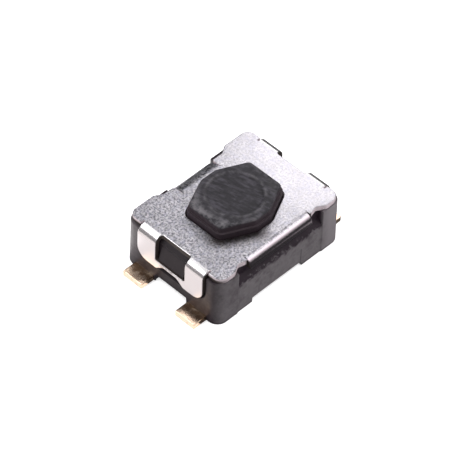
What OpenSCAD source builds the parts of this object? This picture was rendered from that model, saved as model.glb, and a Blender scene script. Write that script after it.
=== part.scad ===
// Tactile push button switch, surface mount, with four flat terminals.
// A moulded base holds two flat contact frames and a snap dome under a film.
// A folded steel cover clips over the base and keeps the button in.
// Millimetres. X runs along the body, Y across it and Z up from the board.
// The origin is in the middle of the body, on the board.

/* [Base] */
// Height of the whole switch, from the board to the top of the button
switch_h = 1.9; // [1.86:0.02:2.1]
// Length of the base over its end walls
base_l = 4.28; // [4.1:0.05:4.6]
// Width of the base over its long walls
base_w = 3.2; // [3.1:0.05:3.5]
// Radius of the upright corners of the base
base_r = 0.3; // [0.15:0.05:0.35]
// Height of the floor that the dome stands on
floor_z = 0.62; // [0.58:0.01:0.66]
// Depth of the round dome pocket below the film ledge
pocket_h = 0.18; // [0.15:0.01:0.22]

/* [Outer walls of the base] */
// Length of a corner post along the long wall
post_l = 0.69; // [0.6:0.02:0.8]
// Depth of the wall panel between two posts
panel_d = 0.04; // [0.02:0.01:0.06]
// Height of the shelf under the cover's side flange
shelf_z = 1.13; // [1.0:0.01:1.18]
// Height of the slope below the shelf
shelf_slope = 0.16; // [0.08:0.02:0.24]
// Length of the mould insert's mark on the long wall
insert_l = 1.5; // [1.0:0.1:1.8]
// Height of the top edge of the insert's mark
insert_z = 0.62; // [0.4:0.02:0.7]
// Depth of the insert's mark
insert_d = 0.025; // [0.01:0.005:0.03]
// Distance between the feet along the long wall
foot_span = 1.72; // [1.2:0.04:1.9]
// Shift of that gap along the wall
foot_shift = -0.08; // [-0.1:0.02:0.1]
// Lift of the underside between those feet
foot_h = 0.14; // [0.08:0.01:0.2]
// Width of the arch between the feet of an end wall
arch_w = 1.06; // [0.8:0.02:1.1]
// Lift of the underside in that arch
arch_h = 0.22; // [0.15:0.01:0.28]

/* [Cover] */
// Thickness of the cover's sheet
cover_t = 0.15; // [0.12:0.01:0.18]
// Inside radius of the cover's folds
bend_r = 0.1; // [0.06:0.01:0.12]
// Set-back of the cover's corner tabs from the end walls
tab_end_gap = 0.08; // [0.05:0.01:0.12]
// Set-back of the corner tabs from the long walls
tab_side_gap = 0.03; // [0:0.01:0.06]
// Radius of the outer corner of a tab
tab_r = 0.24; // [0.2:0.02:0.36]
// Length of the tabs on the front long edge
front_tab_l = 0.48; // [0.4:0.01:0.52]
// Length of the tabs on the rear long edge
rear_tab_l = 0.83; // [0.5:0.01:0.9]
// Depth of the step from a tab to the edge beside it
tab_step = 0.14; // [0.1:0.01:0.18]
// Length of the slanting flank of that step
flank_l = 0.24; // [0.1:0.01:0.28]

/* [Side flanges and legs] */
// Length of the folded flange on the front long edge
front_flange_l = 2.14; // [1.7:0.02:2.2]
// Length of the folded flange on the rear long edge
rear_flange_l = 1.3; // [1.1:0.02:1.7]
// Room in the base at each end of the rear flange
rear_room = 0.1; // [0.09:0.01:0.16]
// Height of the flanges from their lower edge to the cover's top
flange_h = 0.29; // [0.27:0.01:0.36]
// Stand-out of the end clips from the end walls
clip_out = 0.07; // [0.03:0.01:0.1]
// Width over the two legs of an end clip
clip_w = 2.22; // [2.1:0.02:2.3]
// Width of the window between the two legs
window_w = 1.0; // [0.9:0.02:1.1]
// Height of the lower edge of the end clip
clip_z = 0.57; // [0.5:0.01:0.64]
// Height of the bar that joins the two legs
bar_h = 0.26; // [0.22:0.01:0.28]
// Width of the arch in the bar's lower edge
bar_arch_w = 0.92; // [0.7:0.02:1.0]
// Rise of that arch
bar_arch_h = 0.17; // [0.08:0.01:0.18]
// Radius of the lower corners of the end clip
clip_r = 0.34; // [0.2:0.01:0.4]
// Part of the fold, from its start, that the window leaves whole
window_lip = 0.02; // [0.02:0.01:0.1]
// Radius of the window's corners
window_r = 0.07; // [0.03:0.01:0.1]
// Width of the relief slot beside a fold
relief_w = 0.08; // [0.05:0.01:0.1]
// Length of the relief slot into the cover's top
relief_l = 0.03; // [0.01:0.01:0.08]

/* [Latch] */
// Width of the latch in each window
latch_w = 0.86; // [0.6:0.02:0.9]
// Height of the latch over the bar that it holds
latch_h = 0.42; // [0.3:0.01:0.44]
// Stand-out of the latch at its lower edge
latch_d = 0.13; // [0.08:0.01:0.14]
// Stand-out of the latch at its upper edge
latch_top_d = 0.02; // [0.01:0.01:0.05]

/* [Button] */
// Length of the upper tier of the button
button_l = 2.12; // [1.9:0.02:2.2]
// Width of the upper tier of the button
button_w = 1.86; // [1.7:0.02:1.9]
// Length of the straight short side, between corner centres
side_l = 0.9; // [0.7:0.02:1.0]
// Length of the straight long side, between corner centres
cap_l = 0.42; // [0.3:0.02:0.6]
// Radius of the button's upright corners
button_r = 0.14; // [0.1:0.01:0.2]
// Height of the button above the cover
button_rise = 0.34; // [0.3:0.01:0.4]
// Height of the upper tier
upper_h = 0.19; // [0.12:0.01:0.22]
// Stand-out of the lower tier from the upper one
tier_step = 0.055; // [0.03:0.005:0.08]
// Round on the rim of the button's top
rim_r = 0.05; // [0.03:0.01:0.07]
// Stand-out of the hidden lip that the cover holds back
lip = 0.13; // [0.1:0.01:0.14]
// Thickness of that lip
lip_h = 0.24; // [0.18:0.01:0.28]
// Diameter of the plunger under the button
plunger_d = 0.9; // [0.6:0.05:1.1]
// Diameter of the ring on the button's top
ring_d = 1.46; // [1.2:0.02:1.5]
// Width of that ring
ring_w = 0.1; // [0.06:0.01:0.14]
// Depth of the dish inside the ring
dish_d = 0.02; // [0.01:0.005:0.03]

/* [Dome and film] */
// Diameter of the snap dome
dome_d = 2.1; // [1.9:0.05:2.15]
// Thickness of the snap dome
dome_t = 0.05; // [0.04:0.005:0.06]
// Rise of the snap dome's inside over its rim
dome_rise = 0.21; // [0.17:0.01:0.22]
// Thickness of the film
film_t = 0.03; // [0.02:0.005:0.05]

/* [Contact frames] */
// Width of a terminal
strip_w = 0.65; // [0.5:0.01:0.7]
// Thickness of the contact strip
strip_t = 0.15; // [0.1:0.01:0.16]
// Distance between the middles of neighbouring terminals
pitch = 1.8; // [1.7:0.02:1.86]
// Reach of a terminal past the end wall
reach = 0.44; // [0.3:0.02:0.6]
// Length of the terminal's flat inside the end wall
flat_in = 0.32; // [0.2:0.02:0.4]
// Length of the slope from the terminal up to the contact level
slope_l = 0.36; // [0.3:0.02:0.5]
// Depth of plastic over the buried strip
bury = 0.09; // [0.06:0.01:0.12]
// Diameter of the centre contact
centre_d = 0.6; // [0.4:0.05:0.7]
// Width of the tongue that carries the centre contact
tongue_w = 0.4; // [0.3:0.02:0.5]
// Width of a rim contact arm
arm_w = 0.34; // [0.24:0.02:0.4]
// Half length of a rim contact pad
pad_half = 0.24; // [0.16:0.02:0.3]
// Stand-out of the centre contact over the floor
contact_rise = 0.03; // [0.01:0.01:0.05]

/* [Fits] */
// Clearance between sheet and plastic that lie side by side
fit_gap = 0.02; // [0.01:0.01:0.03]
// Clearance round the sliding button
slide_gap = 0.03; // [0.02:0.01:0.04]
// Clearance over and under the sprung pieces
rest_gap = 0.01; // [0.01:0.005:0.02]

/* [Hidden] */
$fn = 48;
// Faces of the circles that are joined by a hull
soft_fn = 32;
// Faces of the large circles of the dome and the film
dome_fn = 192;
// Steps of the round on the button's rim
rim_steps = 3;
// Overlap of joined solids, and overrun of cuts
eps = 0.02;
// The corner posts carry the cover at this height.
seat_z = switch_h - button_rise - cover_t;
cover_top = seat_z + cover_t;
button_top = cover_top + button_rise;
fold_r = bend_r + cover_t;
plate_l = base_l - 2 * tab_end_gap;
plate_w = base_w - 2 * tab_side_gap;
edge_w = plate_w - 2 * tab_step;
// The flanges are flush with the long walls, and the end clips stand proud.
flange_in = base_w / 2 - cover_t;
leg_in = base_l / 2 + clip_out - cover_t;
panel_l = base_l - 2 * post_l;
ledge_z = floor_z + pocket_h;
latch_z = clip_z + bar_h + fit_gap;
dome_top = floor_z + dome_rise + dome_t;
film_rise = dome_top + rest_gap - ledge_z;
plunger_z = dome_top + rest_gap + film_t + rest_gap;
lip_top = seat_z - rest_gap;
strip_top = floor_z - bury;
arm_x = dome_d / 2 - arm_w / 2;
tip_x = base_l / 2 + reach;
slope_out = base_l / 2 - flat_in;
slope_in = slope_out - slope_l;
pocket_grow = tier_step + lip + slide_gap;
dome_hole_r = dome_d / 2 + slide_gap;

// Copies its children to both ends of the X axis.
module both_ends() {
  children();
  mirror([1, 0, 0]) children();
}

// A box centred on X and Y that stands on z.
module block(l, w, z, h) {
  translate([-l / 2, -w / 2, z]) cube([l, w, h]);
}

// A rectangle with round corners, centred.
module round_rect(l, w, r) {
  square([l - 2 * r, w], center = true);
  square([l, w - 2 * r], center = true);
  for (x = [-1, 1], y = [-1, 1]) {
    translate([x * (l / 2 - r), y * (w / 2 - r)]) circle(r);
  }
}

// The hollow corner of a fillet, in the first quadrant.
module hollow_corner(r) {
  difference() {
    translate([-eps, -eps]) square(r + eps);
    translate([r, r]) circle(r);
  }
}

// A fold of the sheet, seen along the fold: a quarter ring that starts flat
// on top, at x = 0, and turns down. Its centre is at the origin, and a short
// flat start overlaps the sheet that it belongs to.
module fold_profile() {
  translate([-eps, bend_r]) square([eps, cover_t]);
  intersection() {
    difference() {
      circle(fold_r);
      circle(bend_r);
    }
    square(fold_r);
  }
}

// Centres of the button's corners, going round from the right-hand side.
corner_x = button_l / 2 - button_r;
corner_y = button_w / 2 - button_r;
CORNERS = [
  [corner_x, -side_l / 2], [corner_x, side_l / 2],
  [cap_l / 2, corner_y], [-cap_l / 2, corner_y],
  [-corner_x, side_l / 2], [-corner_x, -side_l / 2],
  [-cap_l / 2, -corner_y], [cap_l / 2, -corner_y]
];

// Outward unit normal of the side that runs from corner i to the next.
function side_normal(i) =
  let (a = CORNERS[i], b = CORNERS[(i + 1) % len(CORNERS)], d = b - a)
  [d.y, -d.x] / norm(d);

// The eight-sided outline with round corners, grown evenly by an amount.
module button_outline(grow = 0, fn = $fn) {
  r = button_r + grow;
  n = len(CORNERS);
  polygon([for (i = [0:n - 1]) each [
    CORNERS[i] + r * side_normal((i + n - 1) % n),
    CORNERS[i] + r * side_normal(i)
  ]]);
  for (c = CORNERS) {
    translate(c) circle(r, $fn = fn);
  }
}

// An upright prism on the button's outline.
module button_prism(grow, z, h) {
  translate([0, 0, z]) linear_extrude(h) button_outline(grow);
}

// Outer shape of the moulding, on its four feet.
module base_block() {
  difference() {
    linear_extrude(seat_z) round_rect(base_l, base_w, base_r);
    translate([foot_shift, 0, 0]) block(foot_span, base_w + eps, -eps, foot_h + eps);
    block(base_l + eps, arch_w, -eps, arch_h + eps);
  }
}

// Room of the given length for the side flange, the sloping shelf below it,
// the shallow panel between the posts and the mark of the mould insert.
module long_wall_cuts(room_l) {
  front = -base_w / 2;
  back_y = -flange_in + fit_gap;
  panel_y = front + panel_d;
  translate([-panel_l / 2, front - eps, foot_h - eps])
    cube([panel_l, panel_d + eps, seat_z - foot_h + 2 * eps]);
  rotate([90, 0, 90]) linear_extrude(room_l, center = true) polygon([
    [front - eps, shelf_z - shelf_slope],
    [panel_y, shelf_z - shelf_slope],
    [back_y, shelf_z],
    [back_y, seat_z - bend_r],
    [back_y + bend_r, seat_z + eps],
    [front - eps, seat_z + eps]
  ]);
  translate([-insert_l / 2, front - eps, foot_h - eps])
    cube([insert_l, panel_d + insert_d + eps, insert_z - foot_h + eps]);
}

// Room for the end clip in the left end wall, with a slope at the top
// that keeps clear of the inside of the fold.
module end_wall_cuts() {
  front = -base_l / 2;
  back_x = -leg_in + fit_gap;
  w = clip_w + 2 * fit_gap;
  low = clip_z - fit_gap;
  rotate([90, 0, 0]) linear_extrude(w, center = true) polygon([
    [front - eps, low + clip_r],
    [back_x, low + clip_r],
    [back_x, seat_z - bend_r],
    [back_x + bend_r, seat_z + eps],
    [front - eps, seat_z + eps]
  ]);
  translate([back_x, 0, 0]) rotate([0, -90, 0]) linear_extrude(cover_t + fit_gap + eps)
    clip_outline(low, low + clip_r + 2 * eps, w, clip_r + fit_gap);
}

// Plate with two round lower corners, drawn with z along X and y along Y.
module clip_outline(z0, z1, w, r) {
  translate([z0 + r, -w / 2]) square([z1 - z0 - r, w]);
  translate([z0, -w / 2 + r]) square([z1 - z0, w - 2 * r]);
  for (y = [-1, 1]) {
    translate([z0 + r, y * (w / 2 - r)]) circle(r);
  }
}

// Latch that stands in the window and holds the bar down.
module latch() {
  root_x = -leg_in + fit_gap;
  rotate([90, 0, 0]) linear_extrude(latch_w, center = true) polygon([
    [root_x + eps, latch_z],
    [root_x - latch_d, latch_z],
    [root_x - latch_top_d, latch_z + latch_h],
    [root_x + eps, latch_z + latch_h]
  ]);
}

// The moulded base: feet, posts, pockets and latches, moulded round the
// two contact frames.
module base() {
  color([0.13, 0.13, 0.14]) difference() {
    union() {
      difference() {
        base_block();
        long_wall_cuts(panel_l);
        mirror([0, 1, 0]) long_wall_cuts(rear_flange_l + 2 * rear_room);
        both_ends() end_wall_cuts();
        button_prism(pocket_grow, ledge_z, seat_z - ledge_z + eps);
        translate([0, 0, floor_z]) cylinder(pocket_h + eps, r = dome_hole_r);
      }
      both_ends() latch();
    }
    centre_contact();
    rim_contact();
  }
}

// One quarter of the flat sheet on the side of a tab of the given length:
// the tab with its round corner, its slanting flank and the edge beside it.
module plate_quarter(tab_l) {
  x1 = plate_l / 2;
  y1 = plate_w / 2;
  tab_x = x1 - tab_l;
  difference() {
    polygon([[0, 0], [x1, 0], [x1, y1], [tab_x, y1], [tab_x - flank_l, edge_w / 2], [0, edge_w / 2]]);
    translate([x1, y1]) mirror([1, 0]) mirror([0, 1]) hollow_corner(tab_r);
  }
}

// Room beside the fold of a flange on the rear edge of the flat sheet.
module flange_notch(flange_l) {
  translate([-flange_l / 2 - relief_w, flange_in - bend_r]) square([flange_l + 2 * relief_w, fold_r]);
}

// The flat top of the cover before it is folded, with the button's opening,
// the windows and the relief slots.
module plate_outline() {
  fold_x = leg_in - bend_r;
  difference() {
    union() {
      both_ends() {
        plate_quarter(rear_tab_l);
        mirror([0, 1]) plate_quarter(front_tab_l);
      }
    }
    button_outline(tier_step + slide_gap);
    // The folds start here, so the flat sheet ends.
    both_ends() translate([fold_x, -clip_w / 2 - relief_w]) square([fold_r, clip_w + 2 * relief_w]);
    flange_notch(rear_flange_l);
    mirror([0, 1]) flange_notch(front_flange_l);
    for (x = [-1, 1], y = [-1, 1]) {
      translate([x * fold_x, y * (clip_w + relief_w) / 2])
        square([2 * relief_l, relief_w], center = true);
    }
  }
}

// A folded flange of the given length on the rear long edge.
module side_flange(flange_l) {
  translate([0, flange_in - bend_r, seat_z - bend_r]) rotate([90, 0, 90])
    linear_extrude(flange_l, center = true) fold_profile();
  translate([-flange_l / 2, flange_in, cover_top - flange_h])
    cube([flange_l, cover_t, flange_h - fold_r + eps]);
}

// Arch in the lower edge of the bar, with slanting sides that reach halfway
// to its middle.
module bar_arch() {
  w = bar_arch_w / 2;
  translate([leg_in - eps, 0, clip_z]) rotate([90, 0, 90]) linear_extrude(cover_t + 2 * eps)
    polygon([[-w - eps, -eps], [-w, 0], [-w / 2, bar_arch_h], [w / 2, bar_arch_h], [w, 0], [w + eps, -eps]]);
}

// The folded end clip of the right end: two legs joined by a bar, with the
// window that the latch snaps into.
module end_clip() {
  straight_top = seat_z - bend_r;
  difference() {
    union() {
      translate([leg_in - bend_r, 0, straight_top]) rotate([90, 0, 0])
        linear_extrude(clip_w, center = true) fold_profile();
      translate([leg_in + cover_t, 0, 0]) rotate([0, -90, 0]) linear_extrude(cover_t)
        clip_outline(clip_z, straight_top + eps, clip_w, clip_r);
    }
    // The window runs up through the fold into the flat sheet.
    translate([leg_in - bend_r + window_lip, 0, 0]) rotate([90, 0, 90]) linear_extrude(fold_r)
      translate([0, (latch_z - fit_gap + cover_top) / 2 + window_r])
        round_rect(window_w, cover_top - latch_z + fit_gap + 2 * window_r, window_r);
    bar_arch();
  }
}

// The steel cover, one folded sheet.
module cover() {
  color([0.78, 0.79, 0.81]) union() {
    translate([0, 0, seat_z]) linear_extrude(cover_t) plate_outline();
    side_flange(rear_flange_l);
    mirror([0, 1, 0]) side_flange(front_flange_l);
    both_ends() end_clip();
  }
}

// Upper tier of the button, with a soft rim.
module upper_tier() {
  hull() for (i = [0:rim_steps]) {
    a = 90 * i / rim_steps;
    translate([0, 0, button_top - upper_h])
      linear_extrude(upper_h - rim_r * (1 - sin(a))) button_outline(rim_r * (cos(a) - 1), soft_fn);
  }
}

// The button: two tiers above the cover, a lip that the cover holds back
// and a plunger that pushes the dome.
module button() {
  color([0.16, 0.16, 0.17]) difference() {
    union() {
      upper_tier();
      button_prism(tier_step, lip_top - eps, button_top - upper_h - lip_top + eps);
      button_prism(tier_step + lip, lip_top - lip_h, lip_h);
      translate([0, 0, plunger_z]) cylinder(lip_top - plunger_z, d = plunger_d);
    }
    translate([0, 0, button_top - dish_d]) cylinder(dish_d + eps, d = ring_d - 2 * ring_w);
  }
}

// Shell between two domes of one sheet, standing on z, from its rim
// diameter, its inside rise and its thickness.
module dome_shell(d, rise, t, z) {
  in_r = (pow(rise, 2) + pow(d / 2, 2)) / (2 * rise);
  translate([0, 0, z]) rotate_extrude() intersection() {
    translate([0, rise - in_r]) difference() {
      circle(in_r + t, $fn = dome_fn);
      circle(in_r, $fn = dome_fn);
    }
    square([d / 2, rise + t]);
  }
}

// The sprung snap dome, standing on the rim contacts.
module contact_dome() {
  color([0.8, 0.78, 0.72]) dome_shell(dome_d, dome_rise, dome_t, floor_z);
}

// The film that lies on the ledge and over the dome.
module seal_film() {
  color([0.72, 0.45, 0.12]) union() {
    dome_shell(2 * dome_hole_r, film_rise, film_t, ledge_z);
    difference() {
      button_prism(pocket_grow - slide_gap, ledge_z, film_t);
      translate([0, 0, ledge_z - eps]) cylinder(film_t + 2 * eps, r = dome_hole_r - film_t);
    }
  }
}

// Strip with a terminal at each end that steps up to the contact level.
// Its thickness is measured upright.
module strip() {
  low = strip_top - strip_t;
  path = [
    [-tip_x, 0], [-slope_out, 0], [-slope_in, low],
    [slope_in, low], [slope_out, 0], [tip_x, 0]
  ];
  n = len(path);
  rotate([90, 0, 0]) linear_extrude(strip_w, center = true) polygon([
    for (i = [0:n - 1]) path[i],
    for (i = [0:n - 1]) path[n - 1 - i] + [0, strip_t]
  ]);
}

// Frame of the rear pair of terminals, with the contact under the dome's middle.
module centre_contact() {
  color([0.85, 0.66, 0.42]) union() {
    translate([0, pitch / 2, 0]) strip();
    translate([-tongue_w / 2, 0, strip_top - strip_t]) cube([tongue_w, pitch / 2, strip_t]);
    translate([0, 0, strip_top - strip_t]) cylinder(strip_t + bury + contact_rise, d = centre_d);
  }
}

// Frame of the front pair of terminals, with the contacts under the dome's rim.
module rim_contact() {
  low = strip_top - strip_t;
  color([0.85, 0.66, 0.42]) union() {
    translate([0, -pitch / 2, 0]) strip();
    both_ends() translate([arm_x - arm_w / 2, 0, 0]) {
      translate([0, -pitch / 2, low]) cube([arm_w, pitch / 2 + pad_half, strip_t]);
      translate([0, -pad_half, low]) cube([arm_w, 2 * pad_half, floor_z - low]);
    }
  }
}

base();
cover();
button();
contact_dome();
seal_film();
centre_contact();
rim_contact();
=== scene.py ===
"""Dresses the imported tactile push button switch: fine surfaces, finishes, a plain stage."""

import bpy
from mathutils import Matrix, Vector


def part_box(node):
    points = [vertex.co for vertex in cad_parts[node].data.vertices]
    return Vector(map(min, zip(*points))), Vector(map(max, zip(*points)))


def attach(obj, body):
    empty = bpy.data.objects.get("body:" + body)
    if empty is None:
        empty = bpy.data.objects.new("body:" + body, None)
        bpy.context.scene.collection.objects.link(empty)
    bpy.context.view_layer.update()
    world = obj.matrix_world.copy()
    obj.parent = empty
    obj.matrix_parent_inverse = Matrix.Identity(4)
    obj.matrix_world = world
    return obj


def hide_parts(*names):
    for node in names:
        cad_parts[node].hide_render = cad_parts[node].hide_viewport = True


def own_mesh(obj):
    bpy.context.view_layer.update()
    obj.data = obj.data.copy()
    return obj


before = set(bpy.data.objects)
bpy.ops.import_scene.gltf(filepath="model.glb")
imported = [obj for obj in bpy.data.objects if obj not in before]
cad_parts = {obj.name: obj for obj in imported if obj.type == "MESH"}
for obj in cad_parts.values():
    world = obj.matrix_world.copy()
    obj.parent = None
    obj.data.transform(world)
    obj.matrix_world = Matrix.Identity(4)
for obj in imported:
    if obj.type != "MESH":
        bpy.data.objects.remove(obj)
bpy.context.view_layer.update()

from types import SimpleNamespace

import bmesh
import bpy
import numpy as np
from bpy.props import FloatProperty, FloatVectorProperty, PointerProperty
from bpy.types import Operator, Panel, PropertyGroup
from mathutils import Matrix, Vector
from mathutils.geometry import delaunay_2d_cdt

bl_info = {
    "name": "Tactile Push Button Switch",
    "version": (1, 0, 0),
    "blender": (4, 5, 0),
    "location": "3D View > Sidebar > Switch",
    "description": "Surfaces, finishes and a stage for a surface-mount tactile push button switch",
    "category": "Add Mesh",
}

MM = 0.001


def cad(node, corner, axis):
    """One side of a CAD node's box, in metres: corner 0 is the low one and 1 the high one."""
    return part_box(node)[corner][axis]


def length(name, mm, about, low=0.0):
    """A length setting, kept in metres and given here in millimetres."""
    return FloatProperty(
        name=name, description=about, default=mm * MM, min=low * MM, soft_max=0.01, unit="LENGTH", precision=5
    )


def from_cad(name, metres, about):
    """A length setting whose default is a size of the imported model."""
    return FloatProperty(name=name, description=about, default=metres, unit="LENGTH", precision=5)


def colour(name, code, about):
    """A colour setting, given as an sRGB hex value and kept linear."""
    return FloatVectorProperty(
        name=name, description=about, default=linear(code), size=3, min=0.0, max=1.0, subtype="COLOR"
    )


def linear(code):
    """sRGB hex to linear: ((c + 0.055) / 1.055) to the power 2.4, and c / 12.92 near black."""
    c = np.array([int(code[i : i + 2], 16) for i in (1, 3, 5)]) / 255
    return tuple(np.where(c > 0.04045, ((c + 0.055) / 1.055) ** 2.4, c / 12.92).tolist())


# Settings


class SwitchBody(PropertyGroup):
    """Sizes that more than one piece shares."""

    base_x: length("Half Length", 2.14, "From the middle to an end wall of the base")
    base_y: from_cad("Half Width", cad("base", 1, 1), "From the middle to a long wall of the base")
    seat_z: from_cad("Seat", cad("base", 1, 2), "Height of the posts that carry the cover")
    top_z: from_cad("Button Top", cad("button", 1, 2), "Height of the button's top")
    sheet_t: length("Sheet", 0.15, "Thickness of the cover's sheet")
    bend_r: length("Bend Radius", 0.1, "Inside radius of the cover's folds")
    rear_r: length("Rear Bend Radius", 0.3, "Inside radius of the fold of the rear flange")
    clip_x: from_cad("Clip Reach", cad("cover", 1, 0), "From the middle to the outside of an end clip")
    clip_w: length("Clip Width", 2.22, "Width over both legs of an end clip")
    clip_z: from_cad("Clip Foot", cad("cover", 0, 2), "Height of the lower edge of an end clip")
    clip_r: length("Clip Corner", 0.34, "Radius of the lower corners of an end clip")
    bar_h: length("Bar", 0.26, "Height of the bar that joins the two legs")
    gap: length("Fit Gap", 0.02, "Clearance between sheet and plastic")
    button_x: length("Button Half Length", 1.06, "From the middle to the short side of the upper tier")
    button_y: length("Button Half Width", 0.93, "From the middle to the long side of the upper tier")
    short_side: length("Short Side", 0.9, "Distance between the corner centres of a short side")
    long_side: length("Long Side", 0.42, "Distance between the corner centres of a long side")
    button_r: length("Button Corner", 0.14, "Radius of the button's upright corners")
    tier: length("Tier Step", 0.055, "Stand-out of the button's lower tier")
    lip: length("Lip", 0.13, "Stand-out of the lip that the cover holds back")
    slide: length("Slide Gap", 0.03, "Clearance round the sliding button")
    floor_z: length("Floor", 0.62, "Height of the floor that the snap dome stands on")
    ledge_z: length("Ledge", 0.8, "Height of the ledge that the film lies on")
    dome_r: length("Dome Radius", 1.05, "Radius of the snap dome")
    pitch: length("Pitch", 1.8, "Distance between the middles of neighbouring terminals")
    strip_w: length("Terminal Width", 0.65, "Width of a terminal")
    strip_t: length("Terminal Thickness", 0.15, "Thickness of the contact strip")


class SwitchMoulding(PropertyGroup):
    """Sizes of the outside of the moulded base."""

    corner_r: length("Corner", 0.3, "Radius of the upright corners")
    draft: length("Draft", 0.03, "How far the end walls lean in from the board to the seat")
    post: length("Post", 0.69, "Length of a corner post along the long wall")
    panel_d: length("Panel", 0.02, "Depth of the front wall between two posts")
    rear_panel: length("Rear Panel", 0.01, "Depth of the rear wall between two posts")
    shelf_z: length("Shelf", 1.13, "Height of the shelf under the side flange")
    slope: length("Slope", 0.16, "Height of the slope below the shelf")
    mark_x: length("Insert Mark", 0.75, "Half length of the mould insert's mark")
    mark_z: length("Mark Height", 0.62, "Height of the upper edge of the mark")
    mark_d: length("Mark Depth", 0.02, "Depth of the mark")
    foot_x: length("Foot Gap", 0.86, "Half length of the gap between the feet of a long wall")
    foot_shift: length("Foot Shift", -0.08, "Shift of that gap along the wall", low=-1.0)
    foot_h: length("Foot", 0.14, "Lift of the underside between those feet")
    arch_y: length("Arch", 0.53, "Half width of the arch in an end wall")
    arch_h: length("Arch Height", 0.22, "Lift of the underside in the arch")
    latch_y: length("Latch", 0.43, "Half width of a latch")
    latch_h: length("Latch Height", 0.42, "Height of a latch")
    rear_room: length("Rear Room", 0.75, "Half length of the room for the rear flange")
    latch_d: length("Latch Foot", 0.13, "Stand-out of a latch at its lower edge")
    latch_top: length("Latch Head", 0.02, "Stand-out of a latch at its upper edge")
    edge: length("Edge", 0.02, "Softness of the moulded edges")


class SwitchCover(PropertyGroup):
    """Sizes of the flat sheet that the cover is folded from."""

    plate_x: length("Plate Half Length", 2.06, "From the middle to the end of a corner tab")
    plate_y: length("Plate Half Width", 1.57, "From the middle to the side of a corner tab")
    tab_r: length("Tab Corner", 0.24, "Radius of the outer corner of a tab")
    front_tab: length("Front Tab", 0.48, "Length of the tabs on the front edge")
    rear_tab: length("Rear Tab", 0.83, "Length of the tabs on the rear edge")
    tab_step: length("Tab Step", 0.14, "Step from a tab to the edge beside it")
    flank: length("Flank", 0.24, "Length of the slanting flank of that step")
    flank_r: length("Flank Radius", 0.1, "Radius of the two rounds of the flank")
    front_flange: length("Front Flange", 1.07, "Half length of the side flange in front")
    rear_flange: length("Rear Flange", 0.65, "Half length of the side flange at the rear")
    flange_h: length("Flange Height", 0.29, "From the lower edge of a flange to the cover's top")
    arch: length("Bar Arch", 0.46, "Half width of the arch in the lower edge of an end clip")
    arch_top: length("Bar Arch Top", 0.22, "Half width of that arch at its top")
    arch_h: length("Bar Arch Height", 0.17, "Rise of that arch")
    window: length("Window", 0.5, "Half width of the window in an end clip")
    window_lip: length("Window Lip", 0.01, "Sheet left between the fold's start and the window")
    window_r: length("Window Corner", 0.07, "Radius of the window's corners")
    relief_w: length("Relief Width", 0.03, "Width of the relief slot beside a fold")
    relief_l: length("Relief Length", 0.01, "Length of the relief slot into the top")
    ear: length("Ear", 0.07, "Stand-out of the ear beside the front flange")
    ear_slot: length("Ear Slot", 0.007, "Slot between that ear and the flange")
    edge: length("Sheared Edge", 0.022, "Round on the sheared edges of the sheet")


class SwitchButton(PropertyGroup):
    """Sizes of the button that no other piece shares."""

    upper_h: length("Upper Tier", 0.19, "Height of the upper tier")
    rim_r: length("Rim", 0.05, "Round on the rim of the top")
    edge: length("Edge", 0.015, "Round on the other edges")
    lip_h: length("Lip Thickness", 0.24, "Thickness of the hidden lip")
    plunger_r: length("Plunger", 0.45, "Radius of the plunger under the button")
    ring_r: length("Ring", 0.74, "Radius of the ring on the top")
    dish_r: length("Dish", 0.64, "Radius of the flat of the dish")
    dish_d: length("Dish Depth", 0.028, "Depth of the dish inside the ring")
    fall: length("Fall", 0.006, "How far the top falls from the ring to the rim")


class SwitchSpring(PropertyGroup):
    """Sizes of the snap dome and its film."""

    dome_rise: length("Dome Rise", 0.21, "Rise of the dome's inside over its rim")
    dome_t: length("Dome Sheet", 0.05, "Thickness of the dome")
    film_rise: length("Film Rise", 0.09, "Rise of the film over its ledge")
    film_t: length("Film", 0.03, "Thickness of the film")


class SwitchContacts(PropertyGroup):
    """Sizes of the two contact frames."""

    tip_x: from_cad("Tip", cad("centre_contact", 1, 0), "From the middle to the tip of a terminal")
    bend_out: length("Outer Bend", 1.82, "From the middle to the outer end of the slope")
    bend_in: length("Inner Bend", 1.46, "From the middle to the inner end of the slope")
    buried_z: length("Buried Strip", 0.38, "Height of the underside of the buried strip")
    centre_r: length("Centre Contact", 0.3, "Radius of the centre contact")
    centre_z: from_cad("Centre Top", cad("centre_contact", 1, 2), "Height of the centre contact's top")
    tongue: length("Tongue", 0.2, "Half width of the tongue under the centre contact")
    arm_in: length("Arm Inside", 0.71, "From the middle to the inside of a rim contact arm")
    pad: length("Pad", 0.24, "Half length of a rim contact pad")
    corner_r: length("Strip Corner", 0.03, "Radius of the corners of the strip")
    edge: length("Sheared Edge", 0.018, "Round on the sheared edges of the strip")


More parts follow.
